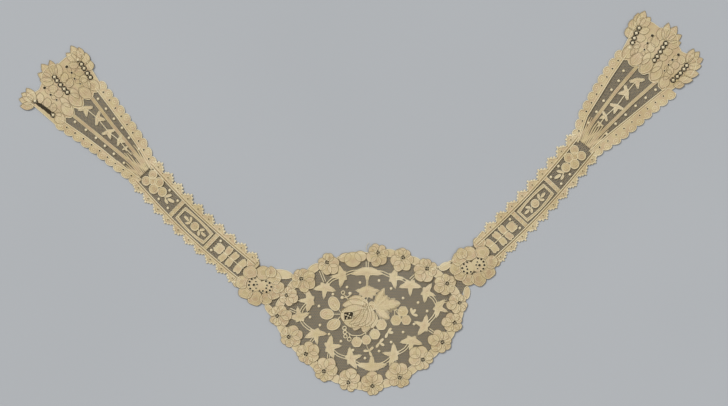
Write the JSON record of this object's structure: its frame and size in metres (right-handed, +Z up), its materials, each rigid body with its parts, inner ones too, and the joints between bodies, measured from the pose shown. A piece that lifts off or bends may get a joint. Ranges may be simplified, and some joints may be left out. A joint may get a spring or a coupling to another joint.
{
  "type": "lace collar",
  "caption": "Applique lace collar laid flat: a rounded medallion with a blossom border, two narrow scalloped straps and a gathered fan with an openwork end on each.",
  "frame": {"origin": "centre of the collar's footprint, on the surface that it lies on", "axes": "+X across the collar from the left strap's side to the right strap's, +Y from the medallion towards the fans' ends, +Z up off the surface, out of the lace's face"},
  "size_m": [0.6011, 0.3353, 0.0023],
  "materials": {
    "net": "matt fine machine net, open hexagonal mesh of ecru cotton",
    "motif": "matt cream cotton bobbin lace with raised outline cords",
    "edging": "matt cream cotton lace tape and scalloped edging with picots",
    "openwork": "matt cream cotton lace, dense cloth stitch with open holes and slots"
  },
  "bodies": {
    "root": {"berry_spray": "motif", "blossom_01": "motif", "blossom_02": "motif", "blossom_03": "motif", "blossom_04": "motif", "blossom_05": "motif", "blossom_06": "motif", "blossom_07": "motif", "blossom_08": "motif", "blossom_09": "motif", "blossom_10": "motif", "blossom_11": "motif", "blossom_12": "motif", "blossom_13": "motif", "blossom_14": "motif", "blossom_15": "motif", "blossom_16": "motif", "blossom_17": "motif", "blossom_18": "motif", "border_pod": "motif", "bud_spray": "motif", "fan_edging_far_left": "edging", "fan_edging_far_right": "edging", "fan_edging_neck_left": "edging", "fan_edging_neck_right": "edging", "fan_ivy_left": "motif", "fan_ivy_right": "motif", "fan_tape_far_left": "edging", "fan_tape_far_right": "edging", "fan_tape_neck_left": "edging", "fan_tape_neck_right": "edging", "frame_sprig_left": "motif", "frame_sprig_right": "motif", "heavy_end_left": "openwork", "heavy_end_right": "openwork", "junction_blossoms_left": "openwork", "junction_blossoms_right": "openwork", "net_fan_left": "net", "net_fan_right": "net", "net_medallion": "net", "net_strap_left": "net", "net_strap_right": "net", "petal_spray_left": "motif", "petal_spray_right": "motif", "rose": "motif", "strap_edging_far_left": "edging", "strap_edging_far_right": "edging", "strap_edging_neck_left": "edging", "strap_edging_neck_right": "edging", "tape_frame_left": "edging", "tape_frame_right": "edging", "top_leaf": "motif", "tulip_spray_left": "motif", "tulip_spray_right": "motif", "wreath_bottom": "motif", "wreath_left": "motif", "wreath_right": "motif", "wreath_top": "motif"}
  },
  "joints": []
}
